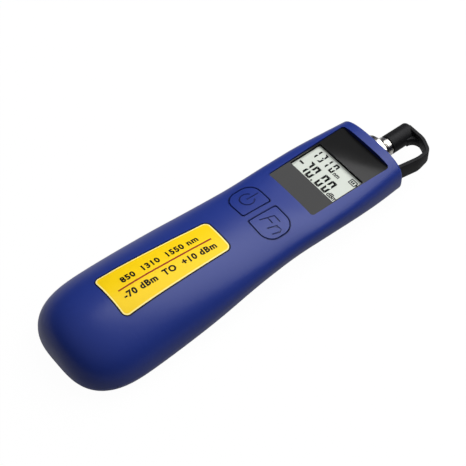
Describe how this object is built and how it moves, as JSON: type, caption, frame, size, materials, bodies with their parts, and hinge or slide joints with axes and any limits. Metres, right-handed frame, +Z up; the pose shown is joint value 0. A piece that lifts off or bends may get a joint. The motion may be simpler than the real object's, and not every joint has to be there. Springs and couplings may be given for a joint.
{
  "type": "optical power meter",
  "caption": "Handheld optical power meter with a small display, two keys, and a capped fibre port at one end.",
  "frame": {"origin": "centre of the overall footprint, on the surface it lies on", "axes": "+Y from the tail to the fibre port, +Z up out of the display, +X to the right seen from above with the port away"},
  "size_m": [0.0558, 0.2, 0.0278],
  "materials": {
    "housing": "satin",
    "label": "satin",
    "window": "gloss",
    "gasket": "matte",
    "lcd": "satin",
    "backlight": "satin",
    "switch": "matte",
    "board": "satin",
    "chip": "matte",
    "screw": "satin",
    "cell": "satin",
    "contact": "satin",
    "nickel": "polished",
    "ceramic": "satin",
    "cap": "satin"
  },
  "bodies": {
    "housing": {"front_shell": "housing", "rear_shell": "housing", "front_label": "label", "display_window": "window", "window_gasket": "gasket", "lcd_panel": "lcd", "lcd_backlight": "backlight", "contact_strip": "gasket", "key_switches": "switch", "main_board": "board", "board_chips": "chip", "housing_screws": "screw", "board_screws": "screw", "battery_1": "cell", "battery_2": "cell", "link_plate": "contact", "contact_plates": "contact", "cell_springs": "contact", "port_base": "nickel", "port_nut": "nickel", "adapter_barrel": "nickel", "ferrule_sleeve": "ceramic", "detector": "contact", "detector_leads": "contact", "detector_board": "board"},
    "battery_cover": {"battery_cover": "housing"},
    "power_key": {"power_key": "housing", "power_plunger": "switch"},
    "function_key": {"function_key": "housing", "function_plunger": "switch"},
    "cap": {"dust_cap": "cap", "cap_strap": "cap"}
  },
  "joints": [
    {"name": "power_press", "type": "slide", "parent": "housing", "child": "power_key", "axis": [0, 0, -1], "range_m": [0, 0.0004], "stiffness_N_per_m": 500},
    {"name": "function_press", "type": "slide", "parent": "housing", "child": "function_key", "axis": [0, 0, -1], "range_m": [0, 0.0004], "stiffness_N_per_m": 500},
    {"name": "cover_slide", "type": "slide", "parent": "housing", "child": "battery_cover", "axis": [0, -1, 0], "range_m": [0, 0.06]},
    {"name": "cap_pull", "type": "slide", "parent": "housing", "child": "cap", "axis": [0, 1, 0], "range_m": [0, 0.02], "deforming": ["cap_strap"]}
  ]
}
